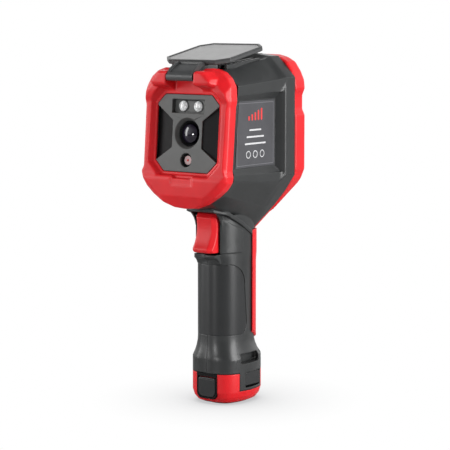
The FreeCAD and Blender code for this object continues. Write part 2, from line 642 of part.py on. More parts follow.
def lens_cover():
    plate = prism_y(cover_outline(), COVER_OUT, COVER_IN - 0.9)
    lower = polygon_loft([[(x, COVER_OUT, z) for x, z in cover_outline()],
                          [(x, COVER_OUT - 0.6, z) for x, z in cover_outline(-1.0)]])
    bend = [(-1.6, 1.6), (2.0, 5.0), (8.5, 7.2), (11.0, 7.4), (19.0, 5.4), (18.0, 4.4), (9.0, 4.2),
            (2.5, -0.6), (0.0, -2.0)]
    arm = prism_x([(HINGE_Y + out, HINGE_Z - along) for along, out in bend], -ARM_X, ARM_X)
    barrel = rod(HINGE_R, (-ARM_X, HINGE_Y, HINGE_Z), (ARM_X, HINGE_Y, HINGE_Z))
    channel = [(0.0, 2.2), (2.6, 3.9), (8.8, 5.7), (11.0, 5.9), (13.0, 12.0), (-1.0, 12.0)]
    sunk = prism_x([(HINGE_Y + out, HINGE_Z - along) for along, out in channel], -ARM_X + 1.6, ARM_X - 1.6)
    arm = arm.cut(sunk.cut(rod(HINGE_R, (-20, HINGE_Y, HINGE_Z), (20, HINGE_Y, HINGE_Z))))
    bore = rod(PIN_R + RUN_CLEARANCE, (-20, HINGE_Y, HINGE_Z), (20, HINGE_Y, HINGE_Z))
    tab = rounded_box(-TAB_X, TAB_X, COVER_OUT - 0.4, COVER_IN - 1.2, TAB_FOOT, COVER_BOTTOM + 1, 0.8, "x")
    return swing_open(fused([plate, lower, arm, barrel, tab]).cut(bore))


def cover_rim():
    """Raised sealing lip round the inner face."""
    ring = prism_y(cover_outline(), COVER_IN - 0.9, COVER_IN).cut(prism_y(cover_outline(-1.5), -5, 5))
    return swing_open(ring)


def cover_pad():
    """Flat liner inside the lip."""
    return swing_open(prism_y(cover_outline(-1.6), COVER_IN - 0.9, COVER_IN - 0.5))


# ---------------------------------------------------------------- rear side
def rear_bumper():
    """Red rim round the back of the head."""
    outline = mirrored(BUMPER_HALF)
    steps = ((8.0, 0.8), (REAR_Y, 0.8), (REAR_Y + 1.0, 0.0), (BACK_Y - 2.8, 0.0), (BACK_Y - 1.0, 0.9),
             (BACK_Y, 2.4))
    rings = [[(x, y, z) for x, z in inset(outline, amount)] for y, amount in steps]
    block = polygon_loft(rings).common(back_side(0)).cut(seam_side())
    return block.cut(prism_y(inset(outline, 4.6), 0, BACK_Y + 1))


def back_strip():
    """Red strip down the back of the handle, pointed at its foot."""
    half = [(0, 115.2), (16.0, 115.2), (16.0, 47.4), (12.0, 42.4), (6.0, 39.2), (0, 38.6)]
    band = prism_y(mirrored(half), 7.2, 40.0)
    return handle_solid(-1.5).cut([handle_solid(0.0), neck_belt(), rim_space()]).common(band)


PLATE_DEPTH = 3.0              # rear panel sits this far inside the rim
PANEL = 2.4                    # rear panel thickness
PANEL_Y = BACK_Y - PLATE_DEPTH
SCREEN_Z, SCREEN_W, SCREEN_H = 197.5, 27.0, 20.5
KEYS_Z = 162.0
KEY_PLACES = {"key_menu": (-21.0, 167.2), "key_view": (21.0, 167.2), "key_lamp": (-21.0, 156.4),
              "key_power": (21.0, 156.4)}


def rear_cover():
    """Rear panel that frames the display and the keys; its lower part slopes forward."""
    outline = inset(mirrored(BUMPER_HALF), 4.7)
    slab = prism_y(outline, 0, BACK_Y + 1).common(back_side(PLATE_DEPTH))
    skin = slab.cut(back_side(PLATE_DEPTH + PANEL)).cut(seam_side())
    edge = slab.cut(seam_side()).cut(prism_y(inset(outline, 1.8), 0, BACK_Y + 2))
    window = prism_y(rect(SCREEN_W + 0.1, SCREEN_H + 0.1, 2.0, 0, SCREEN_Z), PANEL_Y - 1.2, 50)
    view = prism_y(rect(SCREEN_W - 2.5, SCREEN_H - 2.5, 0, 0, SCREEN_Z), 20, 50)
    keys = [rod(9.8, (0, 20, KEYS_Z), (0, 50, KEYS_Z))]
    keys += [rod(4.1, (x, 20, z), (x, 50, z)) for x, z in KEY_PLACES.values()]
    return skin.fuse(edge).cut([window, view] + keys)


def key_cap(radius, x, z, hole=0.0):
    top = PANEL_Y + 1.2
    cap = rod(radius, (x, PANEL_Y - 3.6, z), (x, top, z))
    rim = [e for e in cap.Edges if e.BoundBox.YMin > top - 0.1 and e.BoundBox.XLength > 1]
    cap = cap.makeFillet(0.6, rim)
    return cap.cut(rod(hole, (x, 20, z), (x, 50, z))) if hole else cap


def display_window():
    return prism_y(rect(SCREEN_W, SCREEN_H, 2.0, 0, SCREEN_Z), PANEL_Y - 1.1, PANEL_Y - 0.1)


def lcd_module():
    return box(-25.5, 25.5, PANEL_Y - 6.2, PANEL_Y - 3.0, SCREEN_Z - 20.0, SCREEN_Z + 20.0)


def keypad_sheet():
    return box(-26.5, 26.5, PANEL_Y - 5.4, PANEL_Y - 4.4, 151.5, 174.5)


def main_board():
    outline = [(-27, 219), (27, 219), (31, 208), (31, 152), (-31, 152), (-31, 208)]
    return prism_y(outline, 20.6, 22.2).cut([board_screw_hole(x, z) for x, z in BOARD_SCREWS])


def board_chips():
    places = ((-9, 9, 186, 204), (-24, -14, 190, 200), (13, 25, 170, 182), (-22, -10, 160, 172))
    return group([box(x0, x1, 18.6, 20.6, z0, z1) for x0, x1, z0, z1 in places])


def board_screws():
    screws = []
    for x, z in BOARD_SCREWS:
        shank = rod(BOARD_SCREW_R, (x, 15.0, z), (x, 23.0, z))
        screws.append(fused([shank, rod(2.0, (x, 22.2, z), (x, 23.5, z))]))
    return group(screws)


# ---------------------------------------------------------------- ports in the roof
PORT_HINGE = (22.3, ROOF_Z + 0.1)


def port_cover():
    lid = rounded_box(-PORT_X + 0.3, PORT_X - 0.3, PORT_Y0 + 0.3, 21.8, ROOF_Z - 1.3, ROOF_Z + 0.7, 1.2, "z")
    barrel = rod(0.8, (-9, *PORT_HINGE), (9, *PORT_HINGE))
    grips = [box(-8, 8, y, y + 0.7, ROOF_Z + 0.6, ROOF_Z + 1.1) for y in (16.2, 17.6)]
    return fused([lid, barrel] + grips)


def usb_port():
    shell = rounded_box(-9.2, -0.4, 17.4, 20.6, ROOF_Z - 8.6, ROOF_Z - 1.7, 1.4, "z")
    return shell.cut(rounded_box(-8.8, -0.8, 17.8, 20.2, ROOF_Z - 8.0, ROOF_Z, 1.1, "z"))


def card_slot():
    shell = box(2.0, 10.0, 17.6, 20.4, ROOF_Z - 8.6, ROOF_Z - 1.9)
    return shell.cut(box(2.6, 9.4, 18.5, 19.4, ROOF_Z - 7.6, ROOF_Z))


# ---------------------------------------------------------------- trigger group
PIVOT_Y, PIVOT_Z = -20.4, 125.6
TRIGGER_ARM = 14.0             # switch contact below the pivot
TRIGGER_RIDGE = 2.8            # width and depth of the sloped sides of the trigger face


def trigger_side(x, back):
    """Side profile of the trigger at one distance from the centre, its finger face moved back."""
    heel, head, brow = V(x, -16.6, 127.8), V(x, -22.4 + back / 2, 127.8), V(x, -25.4 + back, 124.8)
    hollow, toe, toe_mid = V(x, -25.2 + back, 113.6), V(x, -29.2 + back, 105.0), V(x, -29.2 + back, 103.0)
    sole, rear = V(x, -27.4 + back, 101.9), V(x, -19.6, 101.9)
    step, step_top = V(x, -17.8, 122.8), V(x, -16.6, 122.8)
    return Part.Wire([
        Part.makeLine(heel, head),
        Part.makeLine(head, brow),
        Part.Arc(brow, hollow, toe).toShape(),
        Part.Arc(toe, toe_mid, sole).toShape(),
        Part.makeLine(sole, rear),
        Part.makeLine(rear, step),
        Part.makeLine(step, step_top),
        Part.makeLine(step_top, heel),
    ])


def trigger():
    ridge = TRIGGER_X - TRIGGER_RIDGE
    sides = [trigger_side(-TRIGGER_X, TRIGGER_RIDGE), trigger_side(-ridge, 0.0), trigger_side(ridge, 0.0),
             trigger_side(TRIGGER_X, TRIGGER_RIDGE)]
    body = Part.makeLoft(sides, True, True)
    boss_z = PIVOT_Z - TRIGGER_ARM
    boss = box(-2.4, 2.4, -19.2, -16.8, boss_z - 0.8, boss_z + 0.8)
    bore = rod(PIN_R + RUN_CLEARANCE, (-12, PIVOT_Y, PIVOT_Z), (12, PIVOT_Y, PIVOT_Z))
    return fused([body, boss]).cut(bore)


def trigger_pin():
    return pin_hole()


def trigger_switch():
    z = PIVOT_Z - TRIGGER_ARM
    body = box(-3.2, 3.2, -12.4, -6.4, z - 5.2, z + 5.2)
    return body.cut(rod(1.24, (0, -12.6, z), (0, -8.6, z)))


def switch_plunger():
    z = PIVOT_Z - TRIGGER_ARM
    return rod(1.2, (0, -16.65, z), (0, -11.2, z))


# ---------------------------------------------------------------- battery pack
def battery_shell():
    points = mirrored(FOOT_HALF)
    steps = ((BASE_Z - GAP, 0.0), (8.4, 0.0), (4.4, 1.2), (1.6, 3.4), (0.0, 7.0))
    body = smooth_loft([(inset(points, amount), z) for z, amount in steps])
    hollow = foot_solid(2.4, BASE_Z, 7.4)
    tab = box(WELL_X - GAP, 30, TAB_Y0 - GAP, TAB_Y1 + GAP, TAB_Z - GAP, 40)
    room = rounded_box(-PACK_X - GAP, PACK_X + GAP, PACK_Y0 - GAP, PACK_Y1 + GAP, 10.0, 40, 5.0, "z")
    flap = flap_outline(FRAME_X + GAP / 2, FRAME_Z0 - GAP / 2, BASE_Z + 1, -40, FRAME_BACK)
    port = box(-4.6, 4.6, -22, -10, 9.0, 12.6)
    socket_seat = rod(5.2, (0, 0, -1), (0, 0, 9.0))
    return body.cut([hollow, room, tab, mirror_x(tab), flap, port, socket_seat])


def battery_tower():
    outer = rounded_box(-PACK_X, PACK_X, PACK_Y0, PACK_Y1, 10.4, PACK_TOP, 5.0, "z")
    skin = 1.2
    inner = rounded_box(-PACK_X + skin, PACK_X - skin, PACK_Y0 + skin, PACK_Y1 - skin,
                        10.4 + skin, PACK_TOP - skin, 4.0, "z")
    return outer.cut(inner)


def battery_cell():
    return rod(9.2, (0, 0, 14.0), (0, 0, 79.0))


def tripod_insert():
    sleeve = rod(5.2, (0, 0, 0), (0, 0, 9.0))
    return sleeve.cut(rod(2.55, (0, 0, -1), (0, 0, 7.6)))


def cell_board():
    return box(-8.0, 8.0, 9.8, 10.8, 14.0, 70.0)


def pack_contacts():
    return group([box(x - 1.4, x + 1.4, -4.0, 4.0, PACK_TOP, PACK_TOP + 0.5) for x in (-5.0, 0.0, 5.0)])


def housing_contacts():
    """Terminal block over the pack with three sprung fingers."""
    block = box(-8.0, 8.0, -5.0, 5.0, PACK_TOP + 4.0, PACK_TOP + 9.0)
    fingers = [box(x - 1.0, x + 1.0, -2.5, 2.5, PACK_TOP + 0.7, PACK_TOP + 4.0) for x in (-5.0, 0.0, 5.0)]
    return fused([block] + fingers)


FLAP_HINGE = (-21.7, 17.2)
FLAP_X = 6.9                   # half width of the charging flap
FRAME_X = 8.2                  # half width of the frame round it
FRAME_Z0 = 3.6
FRAME_BACK = -20.3
FLAP_GAP = 0.45
LEAF_BACK = -20.9


def flap_outline(half, low, high, y0, y1):
    """Upright slab with a round bottom edge, for the charging flap and what surrounds it."""
    slab = box(-half, half, y0, y1, low, high)
    edges = [e for e in slab.Edges if abs(e.tangentAt(0).y) > 0.99 and e.BoundBox.ZMax < low + 1]
    return slab.makeFillet(half * 0.5, edges)


def charge_flap():
    leaf = flap_outline(FLAP_X, FRAME_Z0 + 1.5, 16.8, -22.6, LEAF_BACK)
    barrel = rod(0.75, (-6.5, *FLAP_HINGE), (6.5, *FLAP_HINGE))
    return fused([leaf, barrel])


def charge_frame():
    """Dark frame round the charging flap, flush with the foot."""
    frame = flap_outline(FRAME_X, FRAME_Z0, BASE_Z - GAP, -22.5, FRAME_BACK)
    opening = flap_outline(FLAP_X + FLAP_GAP, FRAME_Z0 + 1.5 - FLAP_GAP, FLAP_HINGE[1] + 1.3, -40, -10)
    return frame.cut(opening).common(foot_solid(1.0, BASE_Z, -0.4))


def charge_port():
    shell = box(-4.5, 4.5, -20.0, -15.0, 9.1, 12.5)
    return shell.cut(box(-4.0, 4.0, -21.0, -15.8, 9.6, 12.0))


def release_button():
    return rounded_box(WELL_X + 2.0, 19.6, BUTTON_Y0, BUTTON_Y1, BUTTON_Z0, BUTTON_Z1, 1.0, "x")


# ---------------------------------------------------------------- write the parts
def main():
    os.makedirs("parts", exist_ok=True)
    whole = housing()
    right_side = box(0, 60, -80, 60, -10, 260)
    left_side = box(-60, 0, -80, 60, -10, 260)
    parts = {
        "housing_right": whole.common(right_side),
        "housing_left": whole.common(left_side),
        "grip_overmould": grip_overmould(),
        "front_bezel": front_frame(front_bezel()),
        "faceplate": front_frame(faceplate()),
        "face_inserts": front_frame(face_inserts()),
        "ir_lens": front_frame(ir_lens()),
        "lens_barrel": front_frame(lens_barrel()),
        "lens_ring": front_frame(lens_ring()),
        "lens_oring": front_frame(lens_oring()),
        "thermal_core": front_frame(thermal_core()),
        "shutter_blade": front_frame(shutter_blade()),
        "camera_module": front_frame(camera_module()),
        "port_window": front_frame(port_window()),
        "lamp_lenses": front_frame(lamp_lenses()),
        "lamp_leds": front_frame(lamp_leds()),
        "lamp_board": front_frame(lamp_board()),
        "core_ribbon": core_ribbon(),
        "label_right": label(1),
        "label_left": label(-1),
        "housing_screws": housing_screws(),
        "cell_board": cell_board(),
        "pack_contacts": pack_contacts(),
        "housing_contacts": housing_contacts(),
        "core_bracket": front_frame(core_bracket()),
        "lens_cover": lens_cover(),
        "cover_rim": cover_rim(),
        "cover_pad": cover_pad(),
        "cover_pin": front_frame(rod(PIN_R, (-15.6, HINGE_Y, HINGE_Z), (15.6, HINGE_Y, HINGE_Z))),
        "rear_bumper": rear_bumper(),
        "back_strip": back_strip(),
        "rear_cover": rear_cover(),
        "display_window": display_window(),
        "lcd_module": lcd_module(),
        "keypad_sheet": keypad_sheet(),
        "main_board": main_board(),
        "board_chips": board_chips(),
        "board_screws": board_screws(),
        "key_ring": key_cap(9.5, 0, KEYS_Z, 4.4),
        "key_ok": key_cap(4.1, 0, KEYS_Z),
        "port_cover": port_cover(),
        "usb_port": usb_port(),
        "card_slot": card_slot(),
        "trigger": trigger(),
        "trigger_pin": trigger_pin(),
        "trigger_switch": trigger_switch(),
        "switch_plunger": switch_plunger(),
        "battery_shell": battery_shell(),
        "battery_tower": battery_tower(),
        "battery_cell": battery_cell(),
        "tripod_insert": tripod_insert(),
        "charge_flap": charge_flap(),
        "charge_frame": charge_frame(),
        "charge_port": charge_port(),
        "release_button_right": release_button(),
        "release_button_left": mirror_x(release_button()),
    }
    for name, (x, z) in KEY_PLACES.items():
        parts[name] = key_cap(3.8, x, z)
    for name, shape in parts.items():
        shape.exportStep(f"parts/{name}.step")
        print(name, len(shape.Solids), round(shape.Volume, 1), shape.isValid())


main()
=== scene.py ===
import json
import math

import bpy
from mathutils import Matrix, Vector


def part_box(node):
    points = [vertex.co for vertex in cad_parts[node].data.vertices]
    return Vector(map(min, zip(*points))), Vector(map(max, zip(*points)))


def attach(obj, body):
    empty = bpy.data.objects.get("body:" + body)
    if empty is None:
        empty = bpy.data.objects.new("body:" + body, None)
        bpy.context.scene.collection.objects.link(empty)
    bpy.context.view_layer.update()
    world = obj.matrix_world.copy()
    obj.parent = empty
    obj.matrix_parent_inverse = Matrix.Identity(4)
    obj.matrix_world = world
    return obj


# Looks of the thermal imaging camera: materials and edges for the modelled parts, the prints, key
# symbols and optic rims built here, and a plain studio. Lengths are in metres, and angles are in
# radians unless a comment says degrees.

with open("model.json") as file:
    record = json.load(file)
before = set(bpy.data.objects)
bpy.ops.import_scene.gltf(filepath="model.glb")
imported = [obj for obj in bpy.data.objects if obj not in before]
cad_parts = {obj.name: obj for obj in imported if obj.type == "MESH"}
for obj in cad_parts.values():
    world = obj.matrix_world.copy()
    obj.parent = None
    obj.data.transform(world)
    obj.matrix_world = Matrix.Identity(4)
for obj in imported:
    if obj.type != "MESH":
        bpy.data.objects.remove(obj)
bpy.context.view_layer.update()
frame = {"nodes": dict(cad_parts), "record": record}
nodes = frame["nodes"]

MM = 0.001
BODY = "camera_body"
FACE_TILT = math.radians(4.75)         # the front leans back by this much

CAMERA_AZIMUTH = math.radians(37.0)
CAMERA_PITCH = math.radians(6.9)
CAMERA_DISTANCE = 1.203
CAMERA_TARGET = Vector((0.0, -0.0022, 0.118))
CAMERA_LENS = 144.4                    # focal length in mm, on a sensor 36 mm wide
SENSOR_WIDTH = 36.0

WELD_REACH = 0.02 * MM                 # corners closer than this become one
CREASE = math.radians(28)              # edges sharper than this are rounded

PRINT_HEIGHT = 0.06 * MM               # how far the panel prints stand up
SYMBOL_HEIGHT = 0.08 * MM              # how far the key symbols stand up
SYMBOL_LINE = 0.3 * MM                 # thin stroke of the key symbols
PRINT_SINK = 0.25                      # share of its height that a print reaches into its panel
PANEL_MARGIN = 3.0 * MM                # what the border leaves free of the panel's two edges
BORDER_LINE = 0.35 * MM
CURSOR_RADIUS = 7.0 * MM               # arrows on the ring key, from its centre
FULL_RING = 359.9                      # degrees; just short of closed, so that the band has two ends

LAMP_RADIUS = 3.4 * MM
LAMP_RIM = (3.45 * MM, 4.1 * MM)       # inner and outer radius
PORT_RIM = (3.0 * MM, 4.3 * MM)
EMITTER_RADIUS = 0.75 * MM

HEART = (0.0, 0.0, 0.15)               # what the side lamps point at
FLOOR_SIZE = 12.0                      # half the floor's width
CONTACT_REACH = 70 * MM                # how far from the object its shade on the floor goes


# ---------------------------------------------------------------- node graph helpers
def new_material(name):
    """A new material with its node tree and main shader."""
    material = bpy.data.materials.new(name)
    material.use_nodes = True
    tree = material.node_tree
    return material, tree, tree.nodes["Principled BSDF"]


def noise(tree, scale, detail=2.0, rough=0.5):
    """Noise fixed to the piece; scale is in features per metre."""
    place = tree.nodes.new("ShaderNodeTexCoord")
    texture = tree.nodes.new("ShaderNodeTexNoise")
    texture.inputs["Scale"].default_value = scale
    texture.inputs["Detail"].default_value = detail
    texture.inputs["Roughness"].default_value = rough
    tree.links.new(place.outputs["Object"], texture.inputs["Vector"])
    return texture.outputs["Fac"]


def pebbles(tree, scale):
    """Small rounded cells, for moulded optics; scale is in cells per metre."""
    place = tree.nodes.new("ShaderNodeTexCoord")
    texture = tree.nodes.new("ShaderNodeTexVoronoi")
    texture.feature = "SMOOTH_F1"
    texture.inputs["Scale"].default_value = scale
    tree.links.new(place.outputs["Object"], texture.inputs["Vector"])
    return texture.outputs["Distance"]


def ramp(tree, value, low, high, start=0.35, end=0.65):
    """Maps the range start-end of a value to low-high."""
    node = tree.nodes.new("ShaderNodeMapRange")
    node.inputs["From Min"].default_value = start
    node.inputs["From Max"].default_value = end
    node.inputs["To Min"].default_value = low
    node.inputs["To Max"].default_value = high
    tree.links.new(value, node.inputs["Value"])
    return node.outputs["Result"]


def product(tree, a, b):
    """One value times another, which may be a plain number."""
    node = tree.nodes.new("ShaderNodeMath")
    node.operation = "MULTIPLY"
    tree.links.new(a, node.inputs[0])
    if isinstance(b, float):
        node.inputs[1].default_value = b
    else:
        tree.links.new(b, node.inputs[1])
    return node.outputs[0]


def mixed(tree, fac, a, b):
    """Colour a where fac is 0 and colour b where it is 1."""
    node = tree.nodes.new("ShaderNodeMix")
    node.data_type = "RGBA"
    tree.links.new(fac, node.inputs["Factor"])
    for value, socket in ((a, node.inputs["A"]), (b, node.inputs["B"])):
        if isinstance(value, tuple):
            socket.default_value = (*value, 1.0)
        else:
            tree.links.new(value, socket)
    return node.outputs["Result"]


def rounded_normal(tree, radius):
    """Shading normal with edges rounded off to the radius."""
    node = tree.nodes.new("ShaderNodeBevel")
    node.samples = 6
    node.inputs["Radius"].default_value = radius
    return node.outputs["Normal"]


def add_bump(tree, shader, heights, start=None):
    """Chain of bumps from (height, strength, distance) triples."""
    last = start
    for height, strength, distance in heights:
        bump = tree.nodes.new("ShaderNodeBump")
        bump.inputs["Strength"].default_value = strength
        bump.inputs["Distance"].default_value = distance
        tree.links.new(height, bump.inputs["Height"])
        if last is not None:
            tree.links.new(last, bump.inputs["Normal"])
        last = bump.outputs["Normal"]
    tree.links.new(last, shader.inputs["Normal"])


def edge_mask(tree, start=0.52, end=0.6):
    """1 on sharp outer edges, 0 on flat and hollow places."""
    geometry = tree.nodes.new("ShaderNodeNewGeometry")
    return ramp(tree, geometry.outputs["Pointiness"], 0.0, 1.0, start, end)


def open_mask(tree, reach):
    """1 in the open, falling to 0 far down in seams and gaps; it sets where painted shade darkens a
    colour.
    """
    shade = tree.nodes.new("ShaderNodeAmbientOcclusion")
    shade.samples = 6
    shade.inputs["Distance"].default_value = reach
    return ramp(tree, shade.outputs["AO"], 0.0, 1.0, 0.25, 0.75)


# ---------------------------------------------------------------- materials
def moulded(name, colour, roughness, grain=5200.0, grain_strength=0.25, wear=0.12, edge=0.5 * MM,
            specular=0.5, painted_shade=0.25, reach=1.6 * MM):
    """Moulded plastic or rubber: fine grain, uneven gloss, rubbed edges, and painted shade that darkens
    the colour in seams, gaps and hollows.
    """
    material, tree, shader = new_material(name)
    light = tuple(min(1.0, c * 1.5 + 0.02) for c in colour)
    dusty = tuple(c * 0.88 for c in colour)
    # Colour of the painted shade in seams, gaps and hollows, where ambient occlusion finds little open
    # space.
    painted_shade_colour = tuple(c * painted_shade for c in colour)
    base = mixed(tree, ramp(tree, noise(tree, 60.0, 3.0), 0.0, 1.0), colour, dusty)
    worn = mixed(tree, product(tree, edge_mask(tree), wear), base, light)
    # Painted shade: where ambient occlusion finds little open space, the colour is blended towards its
    # darkened copy.
    tree.links.new(mixed(tree, open_mask(tree, reach), painted_shade_colour, worn), shader.inputs["Base Color"])
    gloss = ramp(tree, noise(tree, 240.0, 4.0, 0.6), roughness - 0.02, roughness + 0.02)
    tree.links.new(gloss, shader.inputs["Roughness"])
    shader.inputs["Specular IOR Level"].default_value = specular
    grain_bump = (noise(tree, grain, 2.0, 0.6), grain_strength, 0.04 * MM)
    wave_bump = (noise(tree, 120.0, 1.0), 0.02, 0.2 * MM)
    add_bump(tree, shader, [grain_bump, wave_bump], rounded_normal(tree, edge))
    return material


def metal(name, colour, roughness, grain=3000.0):
    """Brushed or cast metal with a slightly uneven tint and gloss."""
    material, tree, shader = new_material(name)
    shader.inputs["Metallic"].default_value = 1.0
    tint = mixed(tree, ramp(tree, noise(tree, 300.0), 0.0, 1.0), colour, tuple(c * 0.85 for c in colour))
    tree.links.new(tint, shader.inputs["Base Color"])
    gloss = ramp(tree, noise(tree, 900.0, 3.0), roughness - 0.05, roughness + 0.08)
    tree.links.new(gloss, shader.inputs["Roughness"])
    add_bump(tree, shader, [(noise(tree, grain), 0.15, 0.02 * MM)])
    return material


def glassy(name, colour, roughness, coat=0.0, facets=0.0):
    """Polished optic or cover glass with faint smears; facets gives a pebbled moulded lens."""
    material, tree, shader = new_material(name)
    smear = ramp(tree, noise(tree, 180.0, 4.0), roughness, roughness + 0.05)
    tree.links.new(smear, shader.inputs["Roughness"])
    shader.inputs["Coat Weight"].default_value = coat
    cells = pebbles(tree, 900.0)
    shaded = tuple(c * (1.0 - 0.45 * facets) for c in colour)
    tint = mixed(tree, ramp(tree, cells, 0.0, 1.0, 0.2, 0.6), colour, shaded)
    tree.links.new(tint, shader.inputs["Base Color"])
    add_bump(tree, shader, [(cells, 0.02 + 0.5 * facets, 0.2 * MM)])
    return material


RED = (0.66, 0.010, 0.015)
GREY = (0.026, 0.0275, 0.028)
look = {
    "red_rubber": moulded("red_rubber", RED, 0.38, grain_strength=0.06, wear=0.06, edge=0.9 * MM,
                          specular=0.32, painted_shade=0.3),
    "housing_plastic": moulded("housing_plastic", GREY, 0.33, grain_strength=0.06, edge=1.1 * MM,
                               specular=0.34, painted_shade=0.1, reach=4.0 * MM),
    "soft_grip": moulded("soft_grip", (0.022, 0.023, 0.024), 0.32, 7000.0, 0.05, edge=0.6 * MM,
                         specular=0.34, painted_shade=0.12),
    "face_plastic": moulded("face_plastic", (0.075, 0.077, 0.075), 0.5, edge=0.5 * MM, painted_shade=0.2),
    "black_plastic": moulded("black_plastic", (0.004, 0.004, 0.0045), 0.5, wear=0.02, specular=0.12),
    "cover_plastic": moulded("cover_plastic", (0.050, 0.052, 0.053), 0.36, edge=0.6 * MM, painted_shade=0.15),
    # Lighter grey for the cover's pad than for the rest of the cover.
    "cover_pad_grey": moulded("cover_pad_grey", (0.27, 0.27, 0.27), 0.36, 4200.0, 0.15, painted_shade=0.4),
    "lens_glass": glassy("lens_glass", (0.006, 0.003, 0.012), 0.05, coat=0.1),
    "clear_plastic": glassy("clear_plastic", (0.86, 0.88, 0.88), 0.16, coat=0.6, facets=1.0),
    "port_glass": glassy("port_glass", (0.50, 0.33, 0.33), 0.14, coat=0.4, facets=0.4),
    "display_glass": glassy("display_glass", (0.008, 0.009, 0.011), 0.06, coat=0.8),
    "label_film": moulded("label_film", (0.060, 0.060, 0.066), 0.5, 3000.0, 0.1, edge=0.2 * MM,
                          specular=0.3),
    "print": moulded("print", (0.50, 0.50, 0.51), 0.5, 3000.0, 0.05, edge=0.05 * MM),
    "rule": moulded("rule", (0.13, 0.13, 0.14), 0.5, 3000.0, 0.05, edge=0.05 * MM),
    "accent": moulded("accent", (0.60, 0.03, 0.03), 0.4, 3000.0, 0.05, edge=0.05 * MM),
    "steel": metal("steel", (0.55, 0.55, 0.56), 0.3),
    "brass": metal("brass", (0.72, 0.52, 0.22), 0.3),
    "alloy": metal("alloy", (0.5, 0.51, 0.52), 0.4),
    "board_green": moulded("board_green", (0.02, 0.12, 0.05), 0.35),
    "cell_wrap": moulded("cell_wrap", (0.03, 0.12, 0.35), 0.3, 2000.0, 0.05),
    "key_rubber": moulded("key_rubber", (0.022, 0.022, 0.023), 0.5),
    "film": moulded("film", (0.45, 0.2, 0.04), 0.3),
    "led_ceramic": moulded("led_ceramic", (0.85, 0.75, 0.3), 0.5),
}
slot_of = {entry["node"]: entry["material_slot"] for entry in frame["record"]["subparts"]}
slot_of.update({"cover_pad": "cover_pad_grey", "port_window": "port_glass"})


for name, obj in nodes.items():
    obj.data.materials.clear()
    obj.data.materials.append(look[slot_of[name]])


# ---------------------------------------------------------------- edges
def weld(obj):
    """Joins the separate corners that each flat face of a part brings along."""
    joiner = obj.modifiers.new("weld", "WELD")
    joiner.merge_threshold = WELD_REACH


def crisp(name, width):
    """Small rounded edges on a hard moulding."""
    obj = nodes[name]
    weld(obj)
    bevel = obj.modifiers.new("edges", "BEVEL")
    bevel.width = width
    bevel.segments = 3
    bevel.limit_method = "ANGLE"
    bevel.angle_limit = CREASE
    normals = obj.modifiers.new("normals", "WEIGHTED_NORMAL")
    normals.keep_sharp = False


def soft(name, voxel, rounds):
    """Soft rubber moulding: every edge and hollow rounded off."""
    obj = nodes[name]
    weld(obj)
    remesh = obj.modifiers.new("skin", "REMESH")
    remesh.mode = "VOXEL"
    remesh.voxel_size = voxel
    remesh.use_smooth_shade = True
    smooth = obj.modifiers.new("round", "SMOOTH")
    smooth.factor = 0.5
    smooth.iterations = rounds


soft("front_bezel", 0.42 * MM, 14)
soft("rear_bumper", 0.5 * MM, 10)
soft("trigger", 0.30 * MM, 10)
hard_edges = {
    0.5 * MM: ("housing_right", "housing_left"),
    0.35 * MM: ("faceplate", "lens_cover", "rear_cover"),
    0.25 * MM: ("cover_rim", "cover_pad", "face_inserts", "lens_barrel", "label_right", "label_left",
                "port_cover", "release_button_right", "release_button_left", "charge_flap",
                "charge_frame", "battery_shell", "back_strip", "grip_overmould"),
}
for width, names in hard_edges.items():
    for name in names:
        crisp(name, width)


# ---------------------------------------------------------------- built pieces
def middle(node):
    """Centre of a node's box."""
    low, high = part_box(node)
    return (Vector(low) + Vector(high)) / 2


def finish_piece(name, vertices, faces, material, body, edge):
    """Makes the mesh a piece that rides a body, with its edges rounded to the given width."""
    mesh = bpy.data.meshes.new(name)
    mesh.from_pydata(vertices, [], faces)
    mesh.validate()
    mesh.materials.append(material)
    obj = bpy.data.objects.new(name, mesh)
    bpy.context.scene.collection.objects.link(obj)
    if edge:
        bevel = obj.modifiers.new("edges", "BEVEL")
        bevel.width = edge
        bevel.segments = 2
        bevel.limit_method = "ANGLE"
    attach(obj, body)
    return obj


def raised(name, outlines, origin, right, up, height, material, body):
    """Flat outlines in the plane of right and up, raised towards right x up by height."""
    normal = right.cross(up)
    vertices, faces = [], []
    for outline in outlines:
        first, count = len(vertices), len(outline)
        for lift in (-PRINT_SINK * height, height):
            vertices += [origin + right * x + up * y + normal * lift for x, y in outline]
        faces.append([first + i for i in reversed(range(count))])
        faces.append([first + count + i for i in range(count)])
        for i in range(count):
            j = (i + 1) % count
            faces.append([first + i, first + j, first + count + j, first + count + i])
    return finish_piece(name, vertices, faces, material, body, height * 0.2)


def turned(name, profile, centres, axis, material, body, steps=40):
    """Closed (radius, along) profile turned about the axis at each centre."""
    turn = axis.to_track_quat("Z", "Y").to_matrix()
    vertices, faces = [], []
    count = len(profile)
    for centre in centres:
        first = len(vertices)
        for step in range(steps):
            angle = 2 * math.pi * step / steps
            for radius, along in profile:
                place = Vector((radius * math.cos(angle), radius * math.sin(angle), along))
                vertices.append(centre + turn @ place)
        for step in range(steps):
            ahead = (step + 1) % steps
            for i in range(count):
                j = (i + 1) % count
                faces.append([first + step * count + i, first + ahead * count + i,
                              first + ahead * count + j, first + step * count + j])
    obj = finish_piece(name, vertices, faces, material, body, 0)
    for polygon in obj.data.polygons:
        polygon.use_smooth = True
    return obj


def bar(x, y, width, height):
    """Round-ended bar, centred."""
    radius = min(width, height) / 2
    outline = []
    for corner in range(4):
        sx = 1 if corner in (0, 3) else -1
        sy = 1 if corner in (0, 1) else -1
        for step in range(4):
            angle = math.pi / 2 * (corner + step / 3)
            outline.append((x + sx * (width / 2 - radius) + radius * math.cos(angle),
                            y + sy * (height / 2 - radius) + radius * math.sin(angle)))
    return outline


